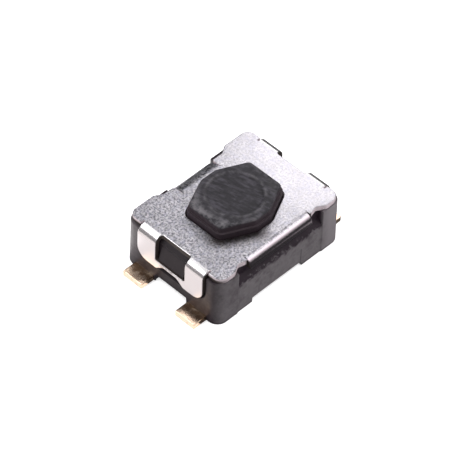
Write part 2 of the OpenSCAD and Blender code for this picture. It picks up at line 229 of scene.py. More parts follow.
class SwitchLooks(PropertyGroup):
    """Colours of the finishes and of the stage."""

    steel: colour("Steel", "#d4d1d3", "Burnished stainless sheet at the folds")
    steel_satin: colour("Satin Steel", "#d3d0d5", "Crests of the satin grain")
    steel_dark: colour("Steel Grain", "#717076", "Hollows of the satin grain")
    steel_blue: colour("Steel Tint", "#b0b0c2", "Bluish spots of the satin grain")
    # A pinker, darker steel for the front flange; its lower face takes painted shade.
    steel_rose: colour("Flange Steel", "#bdb2b8", "The side flange, dulled by handling")
    steel_edge: colour("Cut Edge", "#d3c5cb", "Cut edges of the sheet")
    # Painted shade: the dark brown of the bar, the shaded cut edges and the shadow before the button.
    steel_oiled: colour("Oiled Edge", "#3c332f", "Cut edges that oil has stained")
    # Painted shade: the base's darkest tone, in its recesses, in flecks under the flange and along its feet.
    moulding: colour("Moulding", "#2a1f28", "Black moulded base in its recesses")
    moulding_end: colour("End Walls", "#342c31", "The base on its end walls")
    # Painted light: the long walls drawn pale, paler towards the far end.
    moulding_pale: colour("Pale Moulding", "#6c676a", "The base where its long walls are rubbed pale")
    button: colour("Button", "#392f35", "Matte black button")
    button_pale: colour("Button Top", "#3c3940", "The button's top where fingers have rubbed it")
    # Wear, with a painted highlight, on the ring and the rim of the top.
    button_worn: colour("Worn Button", "#706d71", "The ring and rim of the top, worn pale")
    gold: colour("Gold", "#f6dcc2", "Gold plating of the terminals")
    # Darker gold for the mottle, painted denser near the body as shade and reflection.
    gold_dark: colour("Worn Gold", "#a98a70", "Thin or stained gold plating")
    spring: colour("Spring Steel", "#cfcabf", "Bright spring steel of the dome")
    film: colour("Film", "#b8731f", "Amber sealing film")
    floor: colour("Floor", "#ffffff", "Plain floor")


def in_mm(group):
    """The lengths of a group of settings by name, in millimetres."""
    names = [p.identifier for p in group.bl_rna.properties if p.type == "FLOAT" and p.unit == "LENGTH"]
    return SimpleNamespace(**{n: getattr(group, n) / MM for n in names})


def body_sizes():
    """The shared sizes, with the places that follow from them."""
    s = in_mm(bpy.context.scene.switch_body)
    s.fold_z = s.seat_z - s.bend_r
    s.cover_z = s.seat_z + s.sheet_t
    s.flange_in = s.base_y - s.sheet_t
    s.leg_in = s.clip_x - s.sheet_t
    s.latch_z = s.clip_z + s.bar_h + s.gap
    s.half_w = s.clip_w / 2
    s.grow = s.tier + s.lip + s.slide
    s.hole_r = s.dome_r + s.slide
    return s


# Curves, as arrays of x and y


def unit(v):
    """Vectors of length 1."""
    return v / np.linalg.norm(v, axis=-1, keepdims=True)


def arcs(centres, first, last, radii, n):
    """Arcs round their centres: the unit vector turns evenly from first to last, and is scaled
    by the radius. It is (sin((1-k)t) first + sin(kt) last) / sin t, where t is the whole turn."""
    turn = np.arccos(np.clip((first * last).sum(1), -1, 1))[:, None, None]
    k = np.linspace(0, 1, n)[None, :, None]
    way = (np.sin((1 - k) * turn) * first[:, None] + np.sin(k * turn) * last[:, None]) / np.sin(turn)
    return (centres[:, None] + np.reshape(radii, (-1, 1, 1)) * way).reshape(-1, 2)


def rounded(corners, radii, n=9):
    """Closed outline whose corners are circles that touch both sides. With the half angle h of
    a corner, its centre lies radius / sin h along the bisector."""
    b = np.array(corners, float)
    r = np.broadcast_to(np.array(radii, float), len(b))[:, None]
    u, v = unit(np.roll(b, 1, 0) - b), unit(np.roll(b, -1, 0) - b)
    half = np.arccos(np.clip((u * v).sum(1), -1, 1))[:, None] / 2
    mid = unit(u + v)
    first, last = u / np.tan(half) - mid / np.sin(half), v / np.tan(half) - mid / np.sin(half)
    return distinct(arcs(b + mid * r / np.sin(half), first, last, r[:, 0], n))


def distinct(loop):
    """The loop without points that repeat the one before."""
    return loop[np.linalg.norm(loop - np.roll(loop, 1, 0), axis=1) > 1e-6]


def circle(radius, n=96, centre=(0, 0)):
    """Radius times cosine and sine of evenly spaced angles."""
    a = np.linspace(0, 2 * np.pi, n, endpoint=False)
    return np.array(centre) + radius * np.stack([np.cos(a), np.sin(a)], 1)


def rectangle(x0, x1, y0, y1, r):
    """Rectangle with round corners, anticlockwise."""
    return rounded([(x0, y0), (x1, y0), (x1, y1), (x0, y1)], r)


def refined(loop, step):
    """The same outline with points no further apart than the step, placed by length along it."""
    ring = np.vstack([loop, loop[:1]])
    along = np.concatenate([[0], np.cumsum(np.linalg.norm(np.diff(ring, axis=0), axis=1))])
    extra = np.arange(0, along[-1], step)
    near = np.abs(extra[:, None] - along).min(1) < step / 3
    stops = np.sort(np.concatenate([along[:-1], extra[~near]]))
    return np.stack([np.interp(stops, along, ring[:, i]) for i in (0, 1)], 1)


def inset(loop, amount):
    """The outline moved to its left: each point goes along (n1 + n2) / (1 + n1 . n2), where n1
    and n2 are the left normals of its two sides."""
    side = unit(np.roll(loop, -1, 0) - loop)
    n2 = np.stack([-side[:, 1], side[:, 0]], 1)
    n1 = np.roll(n2, 1, 0)
    return loop + amount * (n1 + n2) / (1 + (n1 * n2).sum(1, keepdims=True))


def cut_at(loop, axis, value, limit):
    """The outline with a point wherever it crosses a line of constant x or y."""
    a = loop[:, axis] - value
    b = np.roll(a, -1)
    k = np.flatnonzero((a * b < -1e-12) & (np.abs(loop[:, 1 - axis]) < limit))
    new = loop[k] + (a[k] / (a[k] - b[k]))[:, None] * (np.roll(loop, -1, 0)[k] - loop[k])
    return np.insert(loop, k + 1, new, 0)


def at(loop, z):
    """The outline as points at a height."""
    return np.column_stack([loop, np.full(len(loop), z)])


def button_outline(s):
    """Eight arcs round the corner centres, from the normal of one side to that of the next."""
    x, y = s.button_x - s.button_r, s.button_y - s.button_r
    a, b = s.short_side / 2, s.long_side / 2
    c = np.array([(x, -a), (x, a), (b, y), (-b, y), (-x, a), (-x, -a), (-b, -y), (b, -y)])
    way = unit(np.roll(c, -1, 0) - c)
    normal = np.stack([way[:, 1], -way[:, 0]], 1)
    return refined(arcs(c, np.roll(normal, 1, 0), normal, np.full(8, s.button_r), 9), 0.04)


# Surfaces, as points and faces


class Surface:
    """Points and faces of one piece, in millimetres, filled part by part."""

    def __init__(self):
        self.points = np.zeros((0, 3))
        self.faces, self.finish = [], []

    def add(self, points):
        """Adds points and returns the index of the first."""
        start = len(self.points)
        self.points = np.vstack([self.points, points])
        return start

    def skin(self, rings, finish=0):
        """Adds closed rings of equal count and the four-sided faces between neighbours, with one
        finish number, or one for each band of faces. Returns the index of each ring's first point."""
        rings = np.asarray(rings, float)
        count, n = rings.shape[:2]
        start = self.add(rings.reshape(-1, 3)) + n * np.arange(count)
        i = np.arange(n)
        j = (i + 1) % n
        near, far = start[:-1, None], start[1:, None]
        self.faces.append(np.stack([near + i, near + j, far + j, far + i], 2).reshape(-1, 4))
        self.finish.append(np.repeat(np.broadcast_to(finish, count - 1), n))
        return start

    def pole(self, ring, n, point):
        """Closes a ring with triangles to one point."""
        tip = self.add([point])
        i = np.arange(n)
        self.faces.append(np.stack([ring + i, ring + (i + 1) % n, np.full(n, tip)], 1))
        self.finish.append(np.zeros(n, int))

    def fill(self, rings, spots=None, margin=0.03):
        """Triangles between closed rings of this surface, seen from above. Spots are points
        that the triangles also use, where they lie inside and clear of the rings."""
        index = np.concatenate([start + np.arange(n) for start, n in rings])
        flat = self.points[index, :2]
        firsts = np.cumsum([0] + [n for _, n in rings[:-1]])
        i = np.concatenate([np.arange(n) for _, n in rings])
        count = np.concatenate([np.full(n, n) for _, n in rings])
        first = np.concatenate([np.full(n, f) for f, (_, n) in zip(firsts, rings)])
        sides = np.stack([first + i, first + (i + 1) % count], 1)
        if spots is not None:
            clear = np.linalg.norm(spots[:, None, :2] - flat, axis=2).min(1) > margin
            spots = spots[clear & enclosed(spots[:, :2], flat, sides)]
            index = np.concatenate([index, self.add(spots) + np.arange(len(spots))])
        flat = self.points[index, :2]
        made = delaunay_2d_cdt(flat.tolist(), sides.tolist(), [], 0, 1e-7, False)
        if len(made[0]) != len(flat):
            raise ValueError("two outlines of a flat face touch or cross each other")
        tri = np.array(made[2])
        tri = tri[enclosed(flat[tri].mean(1), flat, sides)]
        self.faces.append(index[tri])
        self.finish.append(np.zeros(len(tri), int))

    def piece(self, name, finishes, change=None):
        """Makes the mesh object, after an optional change of all its points at once."""
        points = self.points if change is None else change(self.points)
        mesh = bpy.data.meshes.new(name)
        mesh.from_pydata((points * MM).tolist(), [], sum((part.tolist() for part in self.faces), []))
        form = bmesh.new()
        form.from_mesh(mesh)
        bmesh.ops.recalc_face_normals(form, faces=form.faces)
        form.to_mesh(mesh)
        form.free()
        mesh.polygons.foreach_set("use_smooth", np.full(len(mesh.polygons), True))
        for finish in finishes:
            mesh.materials.append(finish)
        mesh.polygons.foreach_set("material_index", np.concatenate(self.finish))
        mesh.update()
        made = bpy.data.objects.new(name, mesh)
        bpy.context.scene.collection.objects.link(made)
        return made


def enclosed(spots, flat, sides):
    """True where a spot lies inside the outlines: a ray along +x crosses an odd number of sides."""
    a, b = flat[sides[:, 0]], flat[sides[:, 1]]
    x, y = spots[:, :1], spots[:, 1:]
    rise = np.where(b[:, 1] == a[:, 1], 1e-12, b[:, 1] - a[:, 1])
    spans = (a[:, 1] > y) != (b[:, 1] > y)
    hits = spans & (x < a[:, 0] + (b[:, 0] - a[:, 0]) * (y - a[:, 1]) / rise)
    return hits.sum(1) % 2 == 1


def sheet(surface, loops, thick, edge, spots=None, z=0.0):
    """A plate cut along its outlines: a profile with two quarter rounds is carried round each
    outline, and the faces are filled between them, with z as the height of the upper face."""
    a = np.radians([0, 30, 60, 90])
    soft, burr = edge, edge / 2
    upper = np.stack([soft * (1 - np.sin(a)), -soft * (1 - np.cos(a))], 1)
    lower = np.stack([burr * (1 - np.sin(a)), burr * (1 - np.cos(a)) - thick], 1)[::-1]
    hold = np.array([[0.01, 0]])
    profile = np.vstack([upper[:1] + hold, upper, lower, lower[-1:] + hold])
    cut = np.zeros(len(profile) - 1, int)
    cut[3:-2] = 1
    top, bottom = [], []
    for loop in loops:
        rings = [at(inset(loop, d), z + h) for d, h in profile]
        start = surface.skin(rings, cut)
        top.append((start[0], len(loop)))
        bottom.append((start[-1], len(loop)))
    for side, height in ((top, z), (bottom, z - thick)):
        inner = None if spots is None else at(spots, height)
        surface.fill(side, inner)


def lattice(*spans):
    """All crossings of lines of constant x and y, for several pairs of line places."""
    return np.vstack([np.stack(np.meshgrid(x, y), 2).reshape(-1, 2) for x, y in spans])


def step(value, place, width):
    """0 below a place and 1 above it, with a smooth change 3t^2 - 2t^3 over the width."""
    t = np.clip((value - place) / width + 0.5, 0, 1)
    return t * t * (3 - 2 * t)


# Finishes

NOISE, RANGE, MIX = "ShaderNodeTexNoise", "ShaderNodeMapRange", "ShaderNodeMix"
BUMP, MATH, VECTOR = "ShaderNodeBump", "ShaderNodeMath", "ShaderNodeVectorMath"
COLOURS = {"output": 2, "data_type": "RGBA"}


def feed(tree, made, inputs):
    """Sets the inputs of a node, by name or in order. Each is a value, a colour, or another
    node's output socket."""
    pairs = inputs.items() if isinstance(inputs, dict) else enumerate(inputs)
    for key, value in pairs:
        entry = made.inputs[key]
        if isinstance(value, bpy.types.NodeSocket):
            tree.links.new(value, entry)
        elif entry.type == "RGBA":
            entry.default_value = (*value, 1)
        else:
            entry.default_value = value


def node(tree, kind, inputs, output=0, **settings):
    """Adds a node with its settings and links, and returns one of its output sockets. The inputs
    of a range are the amount, its two limits, and what these become, which is 0 and 1 if they
    aren't given. Those of a colour mix are 0, the amount, and 6 and 7, the colours."""
    made = tree.nodes.new(kind)
    for key, value in settings.items():
        setattr(made, key, value)
    feed(tree, made, inputs)
    return made.outputs[output]


def blank(name):
    """A new material, its nodes, its shader and its Object coordinates."""
    made = bpy.data.materials.new(name)
    made.use_nodes = True
    tree = made.node_tree
    return made, tree, tree.nodes["Principled BSDF"], node(tree, "ShaderNodeTexCoord", {}, "Object")


def zone(tree, spot, axis, start_mm, end_mm, low=0.0, high=1.0):
    """A mask along an axis: low up to the start, high from the end on, and even between them.
    Low and high are numbers or other masks. An axis between bars counts from the middle of the
    switch to both sides."""
    place = node(tree, "ShaderNodeSeparateXYZ", [spot], axis.strip("|"))
    if axis.startswith("|"):
        place = node(tree, MATH, [place], operation="ABSOLUTE")
    return node(tree, RANGE, [place, start_mm * MM, end_mm * MM, low, high])


def shade(tone, amount):
    """The colour scaled by an amount."""
    return tuple(amount * c for c in tone)


def satin_stainless(looks, s):
    """Cold-rolled stainless sheet, blasted to a satin face and then folded. The eye sees a sparkling grain, a
    soft mottle a few grains wide, and bright burnished folds. Towards the far end the grain's relief is
    fainter and its hollows are painted paler, as painted light, and on the softer fold at the rear the grain
    is painted dark, as painted shade. The side flange in front is a pinker steel with painted shade on its
    lower face, the bar of the end clip has painted shade, and a painted shadow of the button lies before it.
    The real grain, about 0.02 mm, is too fine to show and is drawn as 0.06."""
    made, tree, shader, spot = blank("satin stainless sheet")
    fine = node(tree, NOISE, {"Vector": spot, "Scale": 1 / (0.06 * MM), "Detail": 3, "Roughness": 0.7})
    cloud = node(tree, NOISE, {"Vector": spot, "Scale": 1 / (0.28 * MM), "Detail": 3, "Roughness": 0.6})
    tint = node(tree, NOISE, {"Vector": spot, "Scale": 1 / (0.1 * MM), "Detail": 2, "Roughness": 0.5})
    top, front_fold, rear_fold = s.cover_z, s.bend_r - s.flange_in, s.flange_in - s.rear_r
    front = zone(tree, spot, "Y", front_fold + 0.05, front_fold + 0.02)
    rear = zone(tree, spot, "Y", rear_fold - 0.05, rear_fold - 0.01)
    # Painted light: towards the far end the grain's hollows are drawn paler.
    painted_far_light = zone(tree, spot, "X", -1.0, 1.3)
    # The flat top ends where a fold starts, and in front a little further down.
    low = node(tree, RANGE, [front, 0, 1, (top - 0.004) * MM, (top - 0.045) * MM])
    high = node(tree, RANGE, [front, 0, 1, (top - 0.0005) * MM, (top - 0.01) * MM])
    height = node(tree, "ShaderNodeSeparateXYZ", [spot], "Z")
    flat = node(tree, RANGE, [height, low, high])
    # Painted shade: the grain is drawn darker on the fold at the rear.
    shaded_rear_fold = node(tree, RANGE, [flat, 0, 1, rear, 0])
    satin = node(tree, RANGE, [flat, 0, 1, rear, 1])
    # The grain: dark hollows and bright crests, in soft clouds, some of them bluish.
    dark, light = looks.steel_dark, looks.steel_satin
    # Hollows paler towards the far end as painted light; hollows and crests darker on the rear fold as painted
    # shade.
    hollow = node(tree, MIX, {0: painted_far_light, 6: dark, 7: shade(light, 0.68)}, **COLOURS)
    hollow = node(tree, MIX, {0: shaded_rear_fold, 6: hollow, 7: shade(dark, 0.6)}, **COLOURS)
    crest = node(tree, MIX, {0: shaded_rear_fold, 6: light, 7: shade(light, 0.85)}, **COLOURS)
    tone = node(tree, MIX, {0: node(tree, RANGE, [fine, 0.4, 0.58]), 6: hollow, 7: crest}, **COLOURS)
    tone = node(tree, MIX, {0: node(tree, RANGE, [cloud, 0.35, 0.6, 0.6, 1]), 6: hollow, 7: tone}, **COLOURS)
    blue = node(tree, RANGE, [tint, 0.45, 0.7, 0, 0.4])
    tone = node(tree, MIX, {0: blue, 6: tone, 7: looks.steel_blue}, **COLOURS)
    # Painted shadow of the button, along its slanting side that faces the near corner.
    ahead = node(tree, VECTOR, [spot, (-0.47, -0.88, 0)], "Value", operation="DOT_PRODUCT")
    painted_button_shadow = zone(tree, spot, "X", 0.1, -0.3, high=0.85)
    painted_button_shadow = zone(tree, spot, "X", -1.5, -1.2, high=painted_button_shadow)
    painted_button_shadow = zone(tree, spot, "Y", -0.1, -0.5, high=painted_button_shadow)
    painted_button_shadow = node(tree, RANGE, [ahead, 1.1 * MM, 1.4 * MM, painted_button_shadow, 0])
    tone = node(tree, MIX, {0: painted_button_shadow, 6: tone, 7: looks.steel_oiled}, **COLOURS)
    # The burnished folds, with painted shade on the bar of the end clip and on the lower face of the front
    # flange.
    bar_top = s.clip_z + s.bar_h
    # Painted shade on the bar of the end clip, in soft clouds.
    painted_bar_shade = node(tree, RANGE, [cloud, 0.4, 0.55, 0, 0.9])
    painted_bar_shade = zone(tree, spot, "Z", bar_top + 0.03, bar_top - 0.03, high=painted_bar_shade)
    painted_bar_shade = zone(tree, spot, "|Y|", 0.38, 0.2, high=painted_bar_shade)
    bare = node(tree, MIX, {0: painted_bar_shade, 6: looks.steel, 7: looks.steel_oiled}, **COLOURS)
    # Painted shade on the lower face of the front flange, below its lit upper strip.
    lit = zone(tree, spot, "Z", top - 0.07, top - 0.035)
    flange = node(tree, MIX, {0: lit, 6: shade(looks.steel_rose, 0.4), 7: looks.steel_rose}, **COLOURS)
    bare = node(tree, MIX, {0: front, 6: bare, 7: flange}, **COLOURS)
    tone = node(tree, MIX, {0: satin, 6: bare, 7: tone}, **COLOURS)
    grain_rough = node(tree, RANGE, [fine, 0.3, 0.7, 0.28, 0.4])
    rubbed_and_lit = zone(tree, spot, "Z", top - 0.26, top - 0.2, 0.36, 0.24)
    rough = node(tree, RANGE, [satin, 0, 1, rubbed_and_lit, grain_rough])
    deep = zone(tree, spot, "X", -1.0, 1.3, 1.0, 0.6)
    deep = node(tree, RANGE, [shaded_rear_fold, 0, 1, deep, 0.6])
    deep = node(tree, RANGE, [satin, 0, 1, 0.06, deep])
    bump = node(tree, BUMP, {"Height": fine, "Distance": 0.012 * MM, "Strength": deep})
    feed(tree, shader, {"Base Color": tone, "Roughness": rough, "Metallic": 1.0, "Normal": bump})
    return made


def sheared_stainless(looks, s):
    """The sheet's edges as the punch leaves them: torn across and dull, so the eye sees a soft pale grey.
    Painted shade darkens them in the windows and beside the flanges, and on their lower half at the ends."""
    made, tree, shader, spot = blank("sheared stainless edge")
    jagged = node(tree, NOISE, {"Vector": spot, "Scale": 1 / (0.05 * MM), "Detail": 3, "Roughness": 0.6})
    torn_light = node(tree, RANGE, [jagged, 0.35, 0.65])
    tone = node(tree, MIX, {0: torn_light, 6: shade(looks.steel_edge, 0.8), 7: looks.steel_edge}, **COLOURS)
    # Painted shade: the edges in the windows, beside the flanges and on their lower half at the ends are drawn
    # dark.
    lower = zone(tree, spot, "Z", s.cover_z - 0.04, s.cover_z - 0.09)
    shaded = zone(tree, spot, "|X|", 1.75, 2.05, high=lower)
    shaded = zone(tree, spot, "|Y|", 0.8, 0.75, shaded, zone(tree, spot, "|X|", 1.85, 1.9))
    beside = zone(tree, spot, "|X|", 1.15, 1.1)
    beside = zone(tree, spot, "|Y|", s.flange_in - 0.08, s.flange_in - 0.05, high=beside)
    shaded = node(tree, RANGE, [beside, 0, 1, shaded, 1])
    tone = node(tree, MIX, {0: shaded, 6: tone, 7: looks.steel_oiled}, **COLOURS)
    bump = node(tree, BUMP, {"Height": jagged, "Distance": 0.01 * MM})
    feed(tree, shader, {"Base Color": tone, "Roughness": 0.6, "Metallic": 0.2, "Normal": bump})
    return made


def black_moulding(looks, s, m):
    """Glass-filled black thermoplastic from an eroded mould: matte, with a fine grain. The long walls are
    painted a pale grey as painted light, most of all at their far end. Painted shade lies under the flange in
    ragged dark flecks and above them, and in the recesses, on the latches and along the feet. The real skin,
    about 0.02 mm, is too fine to show and is drawn as 0.05."""
    made, tree, shader, spot = blank("black moulded thermoplastic")
    skin = node(tree, NOISE, {"Vector": spot, "Scale": 1 / (0.05 * MM), "Detail": 2, "Roughness": 0.5})
    cloud = node(tree, NOISE, {"Vector": spot, "Scale": 1 / (0.35 * MM), "Detail": 3, "Roughness": 0.6})
    speck = node(tree, NOISE, {"Vector": spot, "Scale": 1 / (0.08 * MM), "Detail": 3, "Roughness": 0.6})
    ragged = node(tree, NOISE, {"Vector": spot, "Scale": 1 / (0.2 * MM), "Detail": 4, "Roughness": 0.75})
    specks = node(tree, RANGE, [speck, 0.35, 0.65])
    # The long walls: painted light, pale with specks and clouds, then painted shade in ragged flecks between
    # the posts.
    pale = looks.moulding_pale
    rubbed_and_lit = node(tree, MIX, {0: specks, 6: shade(pale, 0.8), 7: pale}, **COLOURS)
    clouds = node(tree, RANGE, [cloud, 0.52, 0.7, 0, 0.45])
    rubbed_and_lit = node(tree, MIX, {0: clouds, 6: rubbed_and_lit, 7: looks.moulding_end}, **COLOURS)
    # Painted light: the long walls are paler towards the far end, where the light falls.
    worn_and_lit = zone(tree, spot, "X", 1.3, 1.7)
    worn_and_lit = node(tree, MIX, {0: worn_and_lit, 6: rubbed_and_lit, 7: shade(pale, 1.5)}, **COLOURS)
    # Painted shade under the flange, with a ragged lower edge: flecks, then solid dark above them.
    height = node(tree, "ShaderNodeSeparateXYZ", [spot], "Z")
    height = node(tree, MATH, [ragged, 0.6 * MM, height], operation="MULTIPLY_ADD")
    shadow_fleck = node(tree, RANGE, [speck, 0.38, 0.5])
    shadow_fleck = node(tree, RANGE, [height, 1.15 * MM, 1.26 * MM, 0, shadow_fleck])
    shadow_fleck = node(tree, RANGE, [height, 1.27 * MM, 1.31 * MM, shadow_fleck, 1])
    jagged = node(tree, MIX, {0: shadow_fleck, 6: rubbed_and_lit, 7: looks.moulding}, **COLOURS)
    post_x = s.base_x - m.post
    post = zone(tree, spot, "|X|", post_x - 0.01, post_x + 0.01)
    wall = node(tree, MIX, {0: post, 6: jagged, 7: worn_and_lit}, **COLOURS)
    # The end walls, with painted shade on the latches, and painted shade as the darkest tone inside.
    end = looks.moulding_end
    tone = node(tree, MIX, {0: specks, 6: shade(end, 0.7), 7: end}, **COLOURS)
    # Painted shade on the latches, under the fold of the end clip.
    latch = zone(tree, spot, "|Y|", m.latch_y + 0.07, m.latch_y + 0.03)
    tone = node(tree, MIX, {0: latch, 6: tone, 7: shade(end, 0.6)}, **COLOURS)
    # Painted shade: the darkest tone away from the end walls' faces, in the recesses and the flange room.
    outside = zone(tree, spot, "|X|", 1.9, 1.95)
    tone = node(tree, MIX, {0: outside, 6: looks.moulding, 7: tone}, **COLOURS)
    # The tones of the walls meet softly round the upright corners.
    between_posts = zone(tree, spot, "|Y|", s.base_y - 0.1, s.base_y - 0.06)
    round_posts = zone(tree, spot, "Y", 1.05, 1.5, low=zone(tree, spot, "Y", -1.4, -1.64))
    side = node(tree, RANGE, [post, 0, 1, between_posts, round_posts])
    tone = node(tree, MIX, {0: side, 6: tone, 7: wall}, **COLOURS)
    # Painted shadow along the feet.
    above_foot_shadow = zone(tree, spot, "Z", 0.01, 0.08)
    tone = node(tree, MIX, {0: above_foot_shadow, 6: looks.moulding, 7: tone}, **COLOURS)
    rough = node(tree, RANGE, [cloud, 0.3, 0.7, 0.35, 0.5])
    bump = node(tree, BUMP, {"Height": skin, "Distance": 0.0015 * MM})
    feed(tree, shader, {"Base Color": tone, "Roughness": rough, "Specular IOR Level": 0.2, "Normal": bump})
    return made


def matte_button(looks, s):
    """Matte black moulded thermoplastic. Fingers have left slanting strokes on its top. The ring and the rim
    are pale from wear, with a painted highlight, the rim most towards the near corner."""
    made, tree, shader, spot = blank("matte black thermoplastic")
    stroke = {"Vector": spot, "Rotation": (0, 0, 0.26), "Scale": (1.0, 4.0, 1.0)}
    turned = node(tree, "ShaderNodeMapping", stroke, vector_type="TEXTURE")
    rub = node(tree, NOISE, {"Vector": turned, "Scale": 1 / (0.09 * MM), "Detail": 4, "Roughness": 0.65})
    cloud = node(tree, NOISE, {"Vector": spot, "Scale": 1 / (0.22 * MM), "Detail": 4, "Roughness": 0.65})
    skin = node(tree, NOISE, {"Vector": spot, "Scale": 1 / (0.07 * MM), "Detail": 3, "Roughness": 0.6})
    level = node(tree, VECTOR, [spot, (1, 1, 0)], operation="MULTIPLY")
    radius = node(tree, VECTOR, [level], "Value", operation="LENGTH")
    off_ring = node(tree, MATH, [radius, 0.75 * MM], operation="SUBTRACT")
    off_ring = node(tree, MATH, [off_ring], operation="ABSOLUTE")
    ring = node(tree, RANGE, [off_ring, 0, 0.07 * MM, 0.5, 0])
    # Painted highlight on the rim, strongest towards the near corner; the ring is pale from wear and painted
    # highlight.
    near = zone(tree, spot, "X", 0.2, -0.5, high=zone(tree, spot, "Y", 0.9, 0.5))
    near = node(tree, RANGE, [near, 0, 1, 0.25, 1])
    rim = node(tree, RANGE, [radius, 0.8 * MM, 1.0 * MM, 0, near])
    worn_and_lit = node(tree, MATH, [ring, rim], operation="MAXIMUM")
    worn_and_lit = node(tree, RANGE, [cloud, 0.38, 0.62, 0, worn_and_lit])
    pale = looks.button_pale
    strokes = node(tree, RANGE, [rub, 0.42, 0.6])
    tone = node(tree, MIX, {0: strokes, 6: shade(pale, 0.35), 7: shade(pale, 1.15)}, **COLOURS)
    dark = node(tree, RANGE, [cloud, 0.36, 0.56, 0.9, 0])
    tone = node(tree, MIX, {0: dark, 6: tone, 7: shade(pale, 0.45)}, **COLOURS)
    tone = node(tree, MIX, {0: worn_and_lit, 6: tone, 7: looks.button_worn}, **COLOURS)
    top = zone(tree, spot, "Z", s.top_z - 0.06, s.top_z - 0.03)
    tone = node(tree, MIX, {0: top, 6: looks.button, 7: tone}, **COLOURS)
    rough = node(tree, RANGE, [skin, 0.3, 0.7, 0.5, 0.68])
    bump = node(tree, BUMP, {"Height": rub, "Distance": 0.012 * MM})
    bump = node(tree, BUMP, {"Height": skin, "Distance": 0.003 * MM, "Normal": bump})
    feed(tree, shader, {"Base Color": tone, "Roughness": rough, "Specular IOR Level": 0.3, "Normal": bump})
    return made


def gold_plating(looks):
    """Thin gold over copper alloy, satin from rolling. The eye sees a warm pale sheen, with a brown mottle of
    tarnish that is painted denser towards the body, as painted shade and a painted reflection of the dark
    body."""
    made, tree, shader, spot = blank("gold plated copper alloy")
    mottling = node(tree, NOISE, {"Vector": spot, "Scale": 1 / (0.16 * MM), "Detail": 4, "Roughness": 0.65})
    fine = node(tree, NOISE, {"Vector": spot, "Scale": 1 / (0.04 * MM), "Detail": 2, "Roughness": 0.5})
    # Painted shade and a painted reflection of the body: the mottle grows denser near the body.
    low = zone(tree, spot, "|X|", 2.3, 2.5, 0.34, 0.58)
    high = zone(tree, spot, "|X|", 2.3, 2.5, 0.5, 0.85)
    shaded = node(tree, RANGE, [mottling, low, high])
    tone = node(tree, MIX, {0: shaded, 6: looks.gold, 7: looks.gold_dark}, **COLOURS)
    rough = node(tree, RANGE, [mottling, 0.3, 0.7, 0.16, 0.26])
    bump = node(tree, BUMP, {"Height": fine, "Distance": 0.003 * MM})
    feed(tree, shader, {"Base Color": tone, "Roughness": rough, "Metallic": 1.0, "Normal": bump})
    return made


def spring_steel(looks):
    """Bright rolled spring steel: smooth, with a fine grain from rolling along X."""
    made, tree, shader, spot = blank("rolled spring steel")
    drawn = node(tree, "ShaderNodeMapping", {"Vector": spot, "Scale": (0.05, 1.0, 1.0)})
    fine = node(tree, NOISE, {"Vector": drawn, "Scale": 1 / (0.03 * MM), "Detail": 2, "Roughness": 0.5})
    rough = node(tree, RANGE, [fine, 0.3, 0.7, 0.18, 0.32])
    bump = node(tree, BUMP, {"Height": fine, "Distance": 0.001 * MM})
    feed(tree, shader, {"Base Color": looks.spring, "Roughness": rough, "Metallic": 1.0, "Normal": bump})
    return made


def amber_film(looks):
    """Polyimide film: glossy amber with faint waves from its adhesive."""
    made, tree, shader, spot = blank("amber polyimide film")
    wave = node(tree, NOISE, {"Vector": spot, "Scale": 1 / (0.3 * MM), "Detail": 2, "Roughness": 0.5})
    tone = node(tree, MIX, {0: wave, 6: looks.film, 7: shade(looks.film, 0.6)}, **COLOURS)
    rough = node(tree, RANGE, [wave, 0.3, 0.7, 0.15, 0.3])
    bump = node(tree, BUMP, {"Height": wave, "Distance": 0.004 * MM})
    feed(tree, shader, {"Base Color": tone, "Roughness": rough, "Normal": bump})
    return made


def white_floor(looks):
    """Matte white paper on a light table: some light comes through it and fills the shadows."""
    made, tree, shader, spot = blank("matte white paper")
    fibre = node(tree, NOISE, {"Vector": spot, "Scale": 1 / (0.6 * MM), "Detail": 3, "Roughness": 0.6})
    rough = node(tree, RANGE, [fibre, 0.3, 0.7, 0.85, 0.95])
    feed(tree, shader, {"Base Color": looks.floor, "Roughness": rough})
    feed(tree, shader, {"Emission Color": (1, 1, 1), "Emission Strength": 0.6})
    return made


# Pieces


def set_on(piece, body, slot, *nodes):
    """Puts a finished piece on its body, in place of its CAD nodes."""
    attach(piece, body)
    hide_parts(*nodes)


